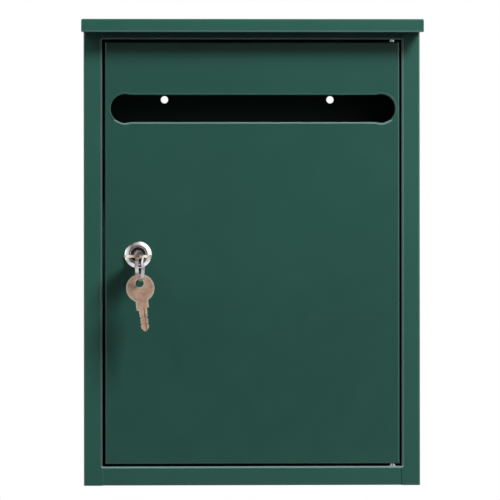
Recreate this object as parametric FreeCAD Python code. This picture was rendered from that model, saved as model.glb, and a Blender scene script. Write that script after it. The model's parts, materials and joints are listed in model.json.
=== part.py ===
import FreeCAD, Part
import math
import os

# Wall mounted post box of folded sheet steel with a drip lid, a hinged door with a
# letter slot, a wafer cam lock, and two cut keys on a split ring.
# Millimetres. X runs to the viewer's right, the front faces -Y and Z is up. The origin
# is the middle of the four wall holes, on the back face that lies against the wall.

Vector = FreeCAD.Vector

# Cabinet, measured outside. joint_gap is left where sheets or turned faces meet, and
# rail_seam where a rail ends at a stile. cut_edge is the bevel of a cut edge that shows,
# and cut_over is how far a cutting shape reaches past the face that it cuts.
body_width = 260.0
body_height = 358.6
body_depth = 90.0
sheet = 0.8
bend_inside = 0.6
joint_gap = 0.1
rail_seam = 0.35
cut_edge = 0.4
cut_over = 1.0

# Folded frame round the door opening
stile_width = 14.3
top_rail_height = 13.9
bottom_rail_height = 14.7
lip_depth = 19.0
flange_height = 12.0

# Drip lid
lid_overhang = 15.0
lid_flange = 10.0
lid_side_flange = 7.0
lid_side_clearance = 0.2

# Holes for the wall screws
wall_hole_diameter = 6.0
wall_hole_spacing_x = 136.0
wall_hole_spacing_z = 252.0

# Door
door_gap_left = 2.1
door_gap_right = 1.5
door_gap_top = 1.8
door_gap_bottom = 1.8
door_flange = 15.0

# Letter slot, with round ends a little larger than its height
slot_length = 220.0
slot_height = 21.0
slot_end_diameter = 22.4
slot_shift = 0.5
slot_centre_z = 111.8

# Hinge pins in the right edge of the door
hinge_inset = 5.3
hinge_setback = 4.0
pin_diameter = 3.0
pin_head_diameter = 5.0
pin_head_height = 1.2
pin_reach = 2.2
pin_clearance = 0.05
hinge_washer_height = 1.5
hinge_washer_diameter = 4.4
hinge_shoulder_diameter = 7.0
hinge_shoulder_height = 0.7

# Cam lock
lock_inset = 25.7
lock_centre_z = -1.0
bezel_diameter = 21.5
bezel_height = 2.6
bezel_edge = 0.6
bezel_land = 0.8
bezel_crown_steps = 3
recess_diameter = 15.2
recess_depth = 1.2
barrel_diameter = 16.0
barrel_flats = 14.0
barrel_hole_clearance = 0.1
plug_diameter = 12.0
plug_head_diameter = 13.4
plug_head_height = 1.6
plug_head_chamfer = 0.4
plug_face_height = 2.0
plug_clearance = 0.05
tail_size = 6.5
tail_clearance = 0.05
cam_gap = 0.5
cam_reach = 38.0
cam_hub_radius = 9.0
cam_tip_radius = 6.0
cam_thickness = 2.0
stop_washer_diameter = 15.2
stop_washer_thickness = 1.0
stop_lug_width = 2.4
stop_lug_height = 1.5
stop_lug_inner_radius = 6.3
stop_play_deg = 3.0
turn_range_deg = 90.0
nut_across_flats = 20.0
nut_thickness = 4.0
nut_chamfer = 0.6
star_washer_diameter = 21.0
star_washer_thickness = 0.8
star_washer_teeth = 8
star_tooth_gap = 1.6
star_tooth_depth = 1.4

# Wafers that the key lines up inside the plug
wafer_count = 5
wafer_pitch = 2.3
wafer_first = 3.6
wafer_thickness = 1.0
wafer_height = 6.0
wafer_length = 10.2
wafer_clearance = 0.08
wafer_window_margin = 0.15
wafer_channel_depth = 0.7

# Cam screw and its spring washer
screw_diameter = 4.0
screw_length = 6.0
screw_head_diameter = 8.0
screw_head_height = 2.6
screw_head_chamfer = 0.7
screw_recess_length = 4.8
screw_recess_width = 1.1
screw_recess_depth = 1.3
spring_washer_diameter = 7.4
spring_washer_thickness = 0.9
spring_washer_cut = 0.8

# Keys, measured from the middle of the ring hole
key_thickness = 2.0
key_bow_diameter = 21.4
key_hole_diameter = 6.0
key_hole_to_edge = 6.9
key_neck_width = 9.5
key_neck_length = 6.0
key_shoulder_step = 1.5
key_blade_width = 6.4
key_blade_length = 16.0
key_tip_length = 2.4
key_tip_width = 1.6
key_groove_width = 1.5
key_groove_depth = 0.6
key_groove_shift = 0.5
key_cut_depths = (0.35, 0.8, 0.55, 0.8, 0.35)
key_cut_flat = 0.9
keyway_clearance = 0.12
keyway_drop = 1.2
key_seat_gap = 0.05

# Split ring on the key in the lock, and the spare key that hangs on it
ring_outer_diameter = 23.0
ring_wire_radial = 1.5
ring_wire_axial = 1.25
ring_turn_gap = 0.06
ring_cross_deg = 30.0
ring_cross_place_deg = 150.0
ring_end_gap_deg = 6.0
ring_cross_sections = 7
ring_twist_deg = 14.0
ring_forward = 7.0
ring_drop = 7.8
spare_key_gap = 0.1
spare_key_tilt_deg = 7.0

# Places worked out from the sizes above
half_width = body_width / 2
half_height = body_height / 2
front_y = -body_depth
bend_outside = bend_inside + sheet
shell_top = half_height - sheet - bend_inside - joint_gap
panel_top = half_height - sheet
stile_inner = half_width - stile_width
opening_top = half_height - top_rail_height
opening_bottom = -half_height + bottom_rail_height
door_left = -stile_inner + door_gap_left
door_right = stile_inner - door_gap_right
door_top = opening_top - door_gap_top
door_bottom = opening_bottom + door_gap_bottom
door_flange_y = front_y + door_flange
hinge_x = door_right - hinge_inset
hinge_y = front_y + hinge_setback
lock_x = door_left + lock_inset
lock_z = lock_centre_z
keyway_z = lock_z - keyway_drop
cam_front = front_y + lip_depth + cam_gap
cam_back = cam_front + cam_thickness
stop_front = cam_front - stop_washer_thickness
barrel_end = stop_front - joint_gap
plug_face = front_y - plug_face_height
plug_head_back = plug_face + plug_head_height
key_shoulder = key_bow_diameter - key_hole_to_edge + key_neck_length
key_tip = key_shoulder + key_blade_length
key_hole_y = plug_face - key_seat_gap - key_shoulder
ring_outer_radius = ring_outer_diameter / 2
ring_inner_radius = ring_outer_radius - ring_wire_radial
ring_pitch = ring_wire_axial + ring_turn_gap
ring_half_width = ring_wire_axial + ring_turn_gap / 2


def point(u, v, w, plane):
    """A point given in a plane's own two directions and its distance along the normal."""
    if plane == "XY":
        return Vector(u, v, w)
    if plane == "YZ":
        return Vector(w, u, v)
    return Vector(u, w, v)


def box(x0, x1, y0, y1, z0, z1):
    return Part.makeBox(x1 - x0, y1 - y0, z1 - z0, Vector(x0, y0, z0))


def rod(radius, x, z, y0, y1):
    """A round bar that runs along Y."""
    return Part.makeCylinder(radius, y1 - y0, Vector(x, y0, z), Vector(0, 1, 0))


def post(radius, x, y, z0, z1):
    """A round bar that runs along Z."""
    return Part.makeCylinder(radius, z1 - z0, Vector(x, y, z0))


def prism(points, plane, start, end):
    """A straight-sided outline in a plane, extruded from start to end along its normal."""
    corners = [point(u, v, start, plane) for u, v in points]
    face = Part.Face(Part.makePolygon(corners + corners[:1]))
    return face.extrude(point(0, 0, end - start, plane))


def bend_data(corners):
    """The unit direction of each run between corners, and the one toward its inner side."""
    runs = []
    for first, second in zip(corners, corners[1:]):
        length = math.dist(first, second)
        runs.append(((second[0] - first[0]) / length, (second[1] - first[1]) / length))
    turn = runs[0][0] * runs[1][1] - runs[0][1] * runs[1][0]
    side = math.copysign(1.0, turn)
    inward = [(-dv * side, du * side) for du, dv in runs]
    return runs, inward


def folded_outline(corners, plane, at, filled):
    """The section of a folded sheet, from the corners of its outside face.

    With filled set, the section is the whole shape inside the outside face.
    """
    runs, inward = bend_data(corners)
    outside = [corners[0]]
    inside = []
    if not filled:
        inside.append(shifted(corners[0], inward[0], sheet))
    for index in range(1, len(corners) - 1):
        start = shifted(corners[index], runs[index - 1], -bend_outside)
        centre = shifted(start, inward[index - 1], bend_outside)
        toward = ((corners[index][0] - centre[0]), (corners[index][1] - centre[1]))
        reach = math.hypot(*toward)
        toward = (toward[0] / reach, toward[1] / reach)
        outside.append(shifted(corners[index], runs[index - 1], -bend_outside))
        outside.append((shifted(centre, toward, bend_outside),))
        outside.append(shifted(corners[index], runs[index], bend_outside))
        if not filled:
            inside.append(shifted(centre, inward[index - 1], -bend_inside))
            inside.append((shifted(centre, toward, bend_inside),))
            inside.append(shifted(centre, inward[index], -bend_inside))
    outside.append(corners[-1])
    if not filled:
        inside.append(shifted(corners[-1], inward[-1], sheet))
    path = outside + inside[::-1]
    return Part.Face(Part.Wire(outline_edges(path, plane, at)))


def shifted(start, direction, distance):
    return (start[0] + direction[0] * distance, start[1] + direction[1] * distance)


def outline_edges(path, plane, at):
    """Edges through a closed path, where an entry in brackets is the middle of an arc."""
    edges = []
    path = path + path[:1]
    index = 0
    while index < len(path) - 1:
        here = point(*path[index], at, plane)
        if len(path[index + 1]) == 1:
            middle = point(*path[index + 1][0], at, plane)
            there = point(*path[index + 2], at, plane)
            edges.append(Part.Arc(here, middle, there).toShape())
            index += 2
        else:
            there = point(*path[index + 1], at, plane)
            edges.append(Part.makeLine(here, there))
            index += 1
    return edges


def folded_sheet(corners, plane, start, end, filled=False):
    """A sheet folded along the corners of a section and extruded from start to end."""
    face = folded_outline(corners, plane, start, filled)
    return face.extrude(point(0, 0, end - start, plane))


def cabinet_section(with_lips):
    """Outside corners from one stile round the back to the other, seen from above."""
    right = [(half_width, 0.0), (half_width, front_y), (stile_inner, front_y)]
    if with_lips:
        right.append((stile_inner, front_y + lip_depth))
    left = [(-u, v) for u, v in right]
    return left[::-1] + right


def make_cabinet_shell():
    """Back, sides, stiles and their lips, folded from one sheet."""
    middle = folded_sheet(cabinet_section(True), "XY", opening_bottom, opening_top)
    lower = folded_sheet(cabinet_section(False), "XY", -half_height, opening_bottom)
    upper = folded_sheet(cabinet_section(False), "XY", opening_top, shell_top)
    shell = middle.fuse([lower, upper]).removeSplitter()
    for sign_x in (-1, 1):
        for sign_z in (-1, 1):
            x = sign_x * wall_hole_spacing_x / 2
            z = sign_z * wall_hole_spacing_z / 2
            shell = shell.cut(rod(wall_hole_diameter / 2, x, z, -sheet - cut_over, cut_over))
    return shell


def make_end_panel(plate_z, rail_z, pin_hole_z):
    """A top or bottom panel with its rail, lip and three flanges.

    plate_z is the outside of the plate, and rail_z is the edge of the door opening.
    """
    inner = math.copysign(1.0, rail_z - plate_z)
    flange_end = plate_z + inner * flange_height
    wall = half_width - sheet - joint_gap
    back = -sheet - joint_gap
    rail_half = stile_inner - rail_seam
    lip_end = front_y + lip_depth
    front_path = [(lip_end, rail_z), (front_y, rail_z), (front_y, plate_z)]
    front_path += [(back, plate_z), (back, flange_end)]
    middle = folded_sheet(front_path, "YZ", -rail_half, rail_half)
    side_path = [(-wall, flange_end), (-wall, plate_z), (wall, plate_z), (wall, flange_end)]
    side_front = front_y + bend_outside
    sides = folded_sheet(side_path, "XZ", side_front, back - bend_outside)
    panel = middle.fuse(sides).removeSplitter()
    reach = sheet + cut_over
    hole = post(pin_diameter / 2, hinge_x, hinge_y, pin_hole_z - reach, pin_hole_z + reach)
    return panel.cut(hole)


def make_top_panel():
    return make_end_panel(panel_top, opening_top, opening_top)


def make_bottom_panel():
    return make_end_panel(-half_height, opening_bottom, opening_bottom)


def make_lid():
    """The drip lid: a plate with a front flange and two side flanges that are less deep."""
    side = half_width + lid_side_clearance + sheet
    lower = half_height - lid_flange
    side_lower = half_height - lid_side_flange
    under = lower - cut_over
    front = front_y - lid_overhang
    side_path = [(-side, side_lower), (-side, half_height), (side, half_height), (side, side_lower)]
    block_path = [(-side, lower), (-side, half_height), (side, half_height), (side, lower)]
    front_path = [(front, lower), (front, half_height), (0.0, half_height)]
    filled_front = front_path + [(0.0, lower)]
    across = folded_sheet(side_path, "XZ", front, 0.0)
    across = across.common(folded_cap(filled_front, "YZ", -side, side))
    along = folded_sheet(front_path, "YZ", -side, side)
    along = along.common(folded_sheet(block_path, "XZ", front, 0.0, True))
    seam = front + sheet
    gap = box(-side, side, seam, seam + joint_gap, under, half_height - bend_outside)
    middle = box(-side + sheet, side - sheet, front, 0.0, under, half_height)
    lid = across.fuse(along).removeSplitter().cut(gap.cut(middle))
    bevel = [(front - cut_over, lower + cut_edge + cut_over), (front - cut_over, under)]
    bevel.append((front + cut_edge + cut_over, under))
    return lid.cut(prism(bevel, "YZ", -side - cut_over, side + cut_over))


def folded_cap(corners, plane, start, end):
    """The block under a sheet that is folded once and ends square at the other side."""
    return folded_sheet(corners[:3], plane, start, end, True).fuse(
        prism([corners[0], corners[2], corners[3]], plane, start, end)
    )


def make_door():
    """The door: a pan with four flanges, the letter slot, lock hole and pin holes."""
    level_path = [(door_left, door_flange_y), (door_left, front_y)]
    level_path += [(door_right, front_y), (door_right, door_flange_y)]
    upright_path = [(door_flange_y, door_bottom), (front_y, door_bottom)]
    upright_path += [(front_y, door_top), (door_flange_y, door_top)]
    level = folded_sheet(level_path, "XY", door_bottom, door_top)
    level_block = folded_sheet(level_path, "XY", door_bottom, door_top, True)
    upright = folded_sheet(upright_path, "YZ", door_left, door_right)
    upright_block = folded_sheet(upright_path, "YZ", door_left, door_right, True)
    door = level.common(upright_block).fuse(upright.common(level_block)).removeSplitter()
    door = door.cut(slot_cutter())
    door = door.cut(double_d(barrel_hole_clearance, front_y - cut_over, front_y + sheet + cut_over))
    pin_hole_radius = pin_diameter / 2 + pin_clearance
    reach = sheet + cut_over
    for z in (door_bottom, door_top):
        door = door.cut(post(pin_hole_radius, hinge_x, hinge_y, z - reach, z + reach))
    return door


def slot_cutter():
    """The letter slot: a straight slot whose ends are punched with larger round holes."""
    end_radius = slot_end_diameter / 2
    centre_x = (door_left + door_right) / 2 + slot_shift
    reach = slot_length / 2 - end_radius
    front = front_y - cut_over
    back = front_y + sheet + cut_over
    half = slot_height / 2
    cutter = box(
        centre_x - reach, centre_x + reach, front, back, slot_centre_z - half, slot_centre_z + half
    )
    wide = half + cut_edge + cut_over
    deep = front_y + cut_edge
    bevel = [(deep, slot_centre_z - half), (front, slot_centre_z - wide)]
    bevel += [(front, slot_centre_z + wide), (deep, slot_centre_z + half)]
    cutter = cutter.fuse(prism(bevel, "YZ", centre_x - reach, centre_x + reach))
    for sign in (-1, 1):
        end_x = centre_x + sign * reach
        end = rod(end_radius, end_x, slot_centre_z, front, back)
        wide_end = end_radius + cut_edge + cut_over
        rim = Part.makeCone(
            wide_end, end_radius, deep - front, Vector(end_x, front, slot_centre_z), Vector(0, 1, 0)
        )
        cutter = cutter.fuse([end, rim])
    return cutter


def double_d(clearance, y0, y1):
    """A round bar with two flats, in line with the lock."""
    flat = barrel_flats / 2 + clearance
    radius = barrel_diameter / 2 + clearance
    block = box(lock_x - radius, lock_x + radius, y0, y1, lock_z - flat, lock_z + flat)
    return rod(radius, lock_x, lock_z, y0, y1).common(block)


def make_hinge_pin(rail_z, door_z):
    """A headed pin, driven through the rail's lip into the door's flange."""
    inward = math.copysign(1.0, door_z - rail_z)
    seat = rail_z - inward * sheet
    shank_end = door_z + inward * (sheet + pin_reach)
    head_end = seat - inward * pin_head_height
    head = post(pin_head_diameter / 2, hinge_x, hinge_y, min(seat, head_end), max(seat, head_end))
    shank = post(pin_diameter / 2, hinge_x, hinge_y, min(seat, shank_end), max(seat, shank_end))
    return head.fuse(shank).removeSplitter()


def make_hinge_washer(z0):
    """A plain washer on a hinge pin, which fills most of the gap above or below the door."""
    z1 = z0 + hinge_washer_height
    washer = post(hinge_washer_diameter / 2, hinge_x, hinge_y, z0, z1)
    bore = post(pin_diameter / 2 + pin_clearance, hinge_x, hinge_y, z0 - cut_over, z1 + cut_over)
    return washer.cut(bore)


def make_shouldered_washer(z0):
    """The washer that carries the door, with a wider shoulder that rests on the rail."""
    shoulder_top = z0 + hinge_shoulder_height
    shoulder = post(hinge_shoulder_diameter / 2, hinge_x, hinge_y, z0, shoulder_top)
    bore = post(pin_diameter / 2 + pin_clearance, hinge_x, hinge_y, z0 - cut_over, shoulder_top + cut_over)
    return make_hinge_washer(z0).fuse(shoulder.cut(bore)).removeSplitter()


def lock_turned(profile):
    """A closed outline of radius and height above the door, turned about the lock's axis."""
    corners = [Vector(lock_x + radius, front_y - height, lock_z) for radius, height in profile]
    face = Part.Face(Part.makePolygon(corners + corners[:1]))
    return face.revolve(Vector(lock_x, 0, lock_z), Vector(0, 1, 0), 360)


def make_lock_body():
    """Bezel and flatted barrel in one casting, bored for the plug, with wafer channels."""
    bezel_radius = bezel_diameter / 2
    recess_radius = recess_diameter / 2
    land_radius = recess_radius + bezel_land
    profile = [(0.0, 0.0), (bezel_radius, 0.0)]
    for step in range(bezel_crown_steps + 1):
        angle = math.radians(90.0 * step / bezel_crown_steps)
        radius = land_radius + (bezel_radius - land_radius) * math.cos(angle)
        height = bezel_edge + (bezel_height - bezel_edge) * math.sin(angle)
        profile.append((radius, height))
    floor = bezel_height - recess_depth
    profile += [(recess_radius, bezel_height), (recess_radius, floor), (0.0, floor)]
    bezel = lock_turned(profile)
    body = bezel.fuse(double_d(0.0, front_y, barrel_end)).removeSplitter()
    counterbore = plug_head_diameter / 2 + plug_clearance
    head_back = plug_head_back + plug_clearance
    body = body.cut(rod(counterbore, lock_x, lock_z, front_y - bezel_height - cut_over, head_back))
    bore = plug_diameter / 2 + plug_clearance
    body = body.cut(rod(bore, lock_x, lock_z, head_back - cut_over, barrel_end + cut_over))
    channel_reach = plug_diameter / 2 + wafer_channel_depth
    channel_half = wafer_height / 2 + wafer_clearance
    first = plug_face + wafer_first - wafer_pitch
    last = first + wafer_pitch * (wafer_count + 1)
    left = lock_x - channel_reach
    right = lock_x + channel_reach
    channel = box(left, right, first, last, lock_z - channel_half, lock_z + channel_half)
    body = body.cut(channel)
    return body.cut(stop_notch())


def stop_notch():
    """The sector at the barrel's end in which the stop washer's lug travels."""
    lug_radius = stop_lug_inner_radius
    lug_half_deg = math.degrees(math.asin(stop_lug_width / 2 / lug_radius))
    start_deg = 270.0 + lug_half_deg + stop_play_deg
    end_deg = 270.0 - turn_range_deg - lug_half_deg - stop_play_deg
    reach = barrel_diameter
    corners = [(lock_x, lock_z)]
    for angle_deg, scale in ((start_deg, 1.0), ((start_deg + end_deg) / 2, 2.0), (end_deg, 1.0)):
        angle = math.radians(angle_deg)
        u = lock_x + reach * scale * math.cos(angle)
        v = lock_z + reach * scale * math.sin(angle)
        corners.append((u, v))
    depth = stop_lug_height + 2 * joint_gap
    return prism(corners, "XZ", barrel_end - depth, barrel_end + cut_over)


def make_lock_plug():
    """The turning plug: head, keyway, wafer slots, square tail and screw hole."""
    head_radius = plug_head_diameter / 2
    plug = rod(head_radius, lock_x, lock_z, plug_face, plug_head_back)
    rim = [edge for edge in plug.Edges if edge.Vertexes and abs(edge.BoundBox.YMax - plug_face) < 0.01]
    plug = plug.makeChamfer(plug_head_chamfer, rim[:1])
    plug = plug.fuse(rod(plug_diameter / 2, lock_x, lock_z, plug_head_back, stop_front))
    half = tail_size / 2
    tail = box(lock_x - half, lock_x + half, stop_front, cam_back - joint_gap, lock_z - half, lock_z + half)
    plug = plug.fuse(tail).removeSplitter()
    plug = plug.cut(keyway_cutter())
    left = lock_x - plug_diameter
    right = lock_x + plug_diameter
    margin = wafer_thickness / 2 + wafer_clearance
    slot_half = wafer_height / 2 + wafer_clearance
    for index in range(wafer_count):
        slot_y = wafer_place(index)
        slot = box(left, right, slot_y - margin, slot_y + margin, lock_z - slot_half, lock_z + slot_half)
        plug = plug.cut(slot)
    screw_end = cam_back - screw_length
    return plug.cut(rod(screw_diameter / 2, lock_x, lock_z, screw_end - joint_gap, cam_back + cut_over))


def keyway_cutter():
    """The slot for the key's blade, with the ward that runs in the blade's groove."""
    half_blade = key_blade_width / 2 + keyway_clearance
    half_thick = key_thickness / 2 + keyway_clearance
    end = plug_face + key_blade_length + key_seat_gap + keyway_clearance
    start = plug_face - cut_over
    low = keyway_z - half_thick
    slot = box(lock_x - half_blade, lock_x + half_blade, start, end, low, keyway_z + half_thick)
    ward_half = key_groove_width / 2 - keyway_clearance
    ward_x = lock_x + key_groove_shift
    ward_top = keyway_z - key_thickness / 2 + key_groove_depth - keyway_clearance
    ward_low = keyway_z - key_thickness
    ward = box(ward_x - ward_half, ward_x + ward_half, start - cut_over, end + cut_over, ward_low, ward_top)
    return slot.cut(ward)


def wafer_place(index):
    return plug_face + wafer_first + index * wafer_pitch


def make_lock_wafers():
    """Five wafers, each a plate with a window that the key's blade fills."""
    window_x = key_blade_width / 2 + wafer_window_margin
    window_z = key_thickness / 2 + wafer_window_margin
    wafers = []
    for index in range(wafer_count):
        y0 = wafer_place(index) - wafer_thickness / 2
        y1 = y0 + wafer_thickness
        half_x = wafer_length / 2
        half_z = wafer_height / 2
        plate = box(lock_x - half_x, lock_x + half_x, y0, y1, lock_z - half_z, lock_z + half_z)
        left = lock_x - window_x
        right = lock_x + window_x
        low = keyway_z - window_z
        window = box(left, right, y0 - cut_over, y1 + cut_over, low, keyway_z + window_z)
        wafers.append(plate.cut(window))
    return Part.makeCompound(wafers)


def make_star_washer():
    """A lock washer with teeth round its bore."""
    y0 = front_y + sheet
    y1 = y0 + star_washer_thickness
    bore = barrel_diameter / 2 + barrel_hole_clearance
    washer = rod(star_washer_diameter / 2, lock_x, lock_z, y0, y1)
    start = y0 - cut_over
    end = y1 + cut_over
    washer = washer.cut(rod(bore, lock_x, lock_z, start, end))
    half = star_tooth_gap / 2
    notch = box(lock_x - half, lock_x + half, start, end, lock_z, lock_z + bore + star_tooth_depth)
    for index in range(star_washer_teeth):
        turned = notch.copy()
        turned.rotate(Vector(lock_x, 0, lock_z), Vector(0, 1, 0), 360.0 * index / star_washer_teeth)
        washer = washer.cut(turned)
    return washer


def make_lock_nut():
    """A thin hexagon nut, chamfered on the side away from the door."""
    y0 = front_y + sheet + star_washer_thickness
    y1 = y0 + nut_thickness
    corner_radius = nut_across_flats / math.sqrt(3)
    corners = []
    for index in range(6):
        angle = math.radians(60 * index)
        corners.append((lock_x + corner_radius * math.cos(angle), lock_z + corner_radius * math.sin(angle)))
    nut = prism(corners, "XZ", y0, y1)
    low = corner_radius - nut_chamfer
    height = nut_chamfer * math.tan(math.radians(30))
    profile = [(0.0, front_y - y0), (corner_radius, front_y - y0)]
    profile += [(corner_radius, front_y - y1 + height), (low, front_y - y1), (0.0, front_y - y1)]
    nut = nut.common(lock_turned(profile))
    return nut.cut(rod(barrel_diameter / 2 + plug_clearance, lock_x, lock_z, y0 - cut_over, y1 + cut_over))


def square_hole(y0, y1):
    half = tail_size / 2 + tail_clearance
    return box(lock_x - half, lock_x + half, y0, y1, lock_z - half, lock_z + half)


def make_stop_washer():
    """A washer on the plug's tail, with a lug that stops the plug at both ends of its turn."""
    washer = rod(stop_washer_diameter / 2, lock_x, lock_z, stop_front, cam_front)
    half = stop_lug_width / 2
    low = lock_z - stop_washer_diameter / 2
    high = lock_z - stop_lug_inner_radius
    lug_front = stop_front - stop_lug_height
    lug = box(lock_x - half, lock_x + half, lug_front, cam_front, low, high)
    rim = rod(stop_washer_diameter / 2, lock_x, lock_z, lug_front, cam_front)
    washer = washer.fuse(lug.common(rim)).removeSplitter()
    return washer.cut(square_hole(stop_front - cut_over, cam_front + cut_over))


def make_lock_cam():
    """The tongue: a plate that narrows from its hub to a round tip, hanging down at rest."""
    distance = cam_reach - cam_tip_radius
    slope = math.asin((cam_hub_radius - cam_tip_radius) / distance)
    side_u = math.cos(slope)
    side_v = -math.sin(slope)
    tip_v = lock_z - distance
    path = [
        (lock_x + cam_hub_radius * side_u, lock_z + cam_hub_radius * side_v),
        ((lock_x, lock_z + cam_hub_radius),),
        (lock_x - cam_hub_radius * side_u, lock_z + cam_hub_radius * side_v),
        (lock_x - cam_tip_radius * side_u, tip_v + cam_tip_radius * side_v),
        ((lock_x, tip_v - cam_tip_radius),),
        (lock_x + cam_tip_radius * side_u, tip_v + cam_tip_radius * side_v),
    ]
    face = Part.Face(Part.Wire(outline_edges(path, "XZ", cam_front)))
    plate = face.extrude(Vector(0, cam_thickness, 0))
    return plate.cut(square_hole(cam_front - cut_over, cam_back + cut_over))


def make_cam_spring_washer():
    """A split ring washer between the cam and the screw's head."""
    y1 = cam_back + spring_washer_thickness
    start = cam_back - cut_over
    end = y1 + cut_over
    washer = rod(spring_washer_diameter / 2, lock_x, lock_z, cam_back, y1)
    washer = washer.cut(rod(screw_diameter / 2 + joint_gap, lock_x, lock_z, start, end))
    half = spring_washer_cut / 2
    cut = box(lock_x - half, lock_x + half, start, end, lock_z, lock_z + spring_washer_diameter)
    return washer.cut(cut)


def make_cam_screw():
    """A pan head screw with a cross recess, in the end of the plug's tail."""
    seat = cam_back + spring_washer_thickness
    top = seat + screw_head_height
    shank = rod(screw_diameter / 2, lock_x, lock_z, cam_back - screw_length, seat)
    head = rod(screw_head_diameter / 2, lock_x, lock_z, seat, top)
    rim = [edge for edge in head.Edges if abs(edge.BoundBox.YMin - top) < 0.01]
    head = head.makeChamfer(screw_head_chamfer, rim[:1])
    screw = shank.fuse(head).removeSplitter()
    arm = screw_recess_length / 2
    half = screw_recess_width / 2
    low = top - screw_recess_depth
    high = top + cut_over
    screw = screw.cut(box(lock_x - arm, lock_x + arm, low, high, lock_z - half, lock_z + half))
    return screw.cut(box(lock_x - half, lock_x + half, low, high, lock_z - arm, lock_z + arm))


def key_edge(side, shoulder):
    """One edge of the key from its shoulder to its tip, with the cuts for the wafers."""
    half_blade = key_blade_width / 2
    edge = [(side * key_neck_width / 2, -shoulder), (side * half_blade, -shoulder)]
    for index, depth in enumerate(key_cut_depths):
        middle = key_shoulder + wafer_first + index * wafer_pitch
        half_flat = key_cut_flat / 2
        half_mouth = half_flat + depth
        edge.append((side * half_blade, -(middle - half_mouth)))
        edge.append((side * (half_blade - depth), -(middle - half_flat)))
        edge.append((side * (half_blade - depth), -(middle + half_flat)))
        edge.append((side * half_blade, -(middle + half_mouth)))
    return edge


def make_key():
    """A cut key that hangs by its hole: bow, neck, and a grooved blade with its cuts."""
    half = key_thickness / 2
    bow_radius = key_bow_diameter / 2
    bow_centre = key_hole_to_edge - bow_radius
    bow = rod(bow_radius, 0, bow_centre, -half, half)
    left = key_edge(-1, key_shoulder)
    right = key_edge(1, key_shoulder - key_shoulder_step)
    tip_start = -(key_tip - key_tip_length)
    tip = [(-key_tip_width / 2, -key_tip), (key_tip_width / 2, -key_tip)]
    narrow = key_blade_width / 2 - key_cut_depths[-1]
    outline = [(-key_neck_width / 2, bow_centre)] + left[:-1] + [(-narrow, tip_start)]
    outline += tip + [(narrow, tip_start)] + right[:-1][::-1] + [(key_neck_width / 2, bow_centre)]
    shank = prism(outline, "XZ", -half, half)
    key = bow.fuse(shank).removeSplitter()
    key = key.cut(rod(key_hole_diameter / 2, 0, 0, -half - cut_over, half + cut_over))
    groove_half = key_groove_width / 2
    groove = box(
        key_groove_shift - groove_half,
        key_groove_shift + groove_half,
        -half - cut_over,
        -half + key_groove_depth,
        -key_tip - cut_over,
        -key_shoulder + key_shoulder_step,
    )
    return key.cut(groove)


def make_key_in_lock():
    """The key in the lock, level, with its shoulder at the plug's face."""
    key = make_key()
    key.rotate(Vector(0, 0, 0), Vector(1, 0, 0), 90)
    key.translate(Vector(lock_x, key_hole_y, keyway_z))
    return key


def ring_section(angle_deg, offset):
    """The wire's section of the split ring at one angle, as a closed outline."""
    angle = math.radians(angle_deg)
    radial = Vector(0, math.cos(angle), math.sin(angle))
    middle = radial * (ring_outer_radius - ring_wire_radial / 2) + Vector(offset, 0, 0)
    half_r = ring_wire_radial / 2
    half_x = ring_wire_axial / 2
    corners = []
    for r, x in ((half_r, half_x), (-half_r, half_x), (-half_r, -half_x), (half_r, -half_x)):
        corners.append(middle + radial * r + Vector(x, 0, 0))
    return Part.makePolygon(corners + corners[:1])


def make_split_ring():
    """Two flat turns of wire, joined by a stretch that steps across from one to the other."""
    turn_deg = 360.0 - ring_cross_deg / 2 - ring_end_gap_deg
    axis = Vector(1, 0, 0)
    origin = Vector(0, 0, 0)
    first_face = Part.Face(ring_section(ring_cross_deg / 2, -ring_pitch / 2))
    first = first_face.revolve(origin, axis, turn_deg - ring_cross_deg / 2)
    second_face = Part.Face(ring_section(-ring_cross_deg / 2, ring_pitch / 2))
    second = second_face.revolve(origin, axis, -(turn_deg - ring_cross_deg / 2))
    sections = []
    for index in range(ring_cross_sections):
        share = index / (ring_cross_sections - 1)
        angle_deg = ring_cross_deg * (0.5 - share)
        sections.append(ring_section(angle_deg, -ring_pitch / 2 + share * ring_pitch))
    crossing = Part.makeLoft(sections, True, True)
    return first.fuse([crossing, second])


def make_key_ring():
    """The split ring, hung through the hole of the key in the lock."""
    ring = make_split_ring()
    ring.rotate(Vector(0, 0, 0), Vector(1, 0, 0), ring_cross_place_deg)
    ring.translate(Vector(0, -ring_forward, -ring_drop))
    ring.rotate(Vector(0, 0, 0), Vector(0, 0, 1), ring_twist_deg)
    ring.translate(Vector(lock_x, key_hole_y, keyway_z))
    return ring


def spare_key_hole():
    """The middle of the spare key's hole, where it hangs on the lowest stretch of the ring."""
    twist = math.radians(ring_twist_deg)
    hang_x = lock_x + ring_forward * math.sin(twist)
    hang_y = key_hole_y - ring_forward * math.cos(twist)
    half_across = ring_half_width / math.cos(twist) + key_thickness / 2 * math.tan(twist)
    hole_radius = key_hole_diameter / 2
    rise = math.sqrt(hole_radius ** 2 - half_across ** 2)
    wire_top = keyway_z - ring_drop - ring_inner_radius
    return Vector(hang_x, hang_y, wire_top + spare_key_gap - rise)


def make_spare_key():
    key = make_key()
    key.rotate(Vector(0, 0, 0), Vector(0, 1, 0), -spare_key_tilt_deg)
    key.translate(spare_key_hole())
    return key


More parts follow.
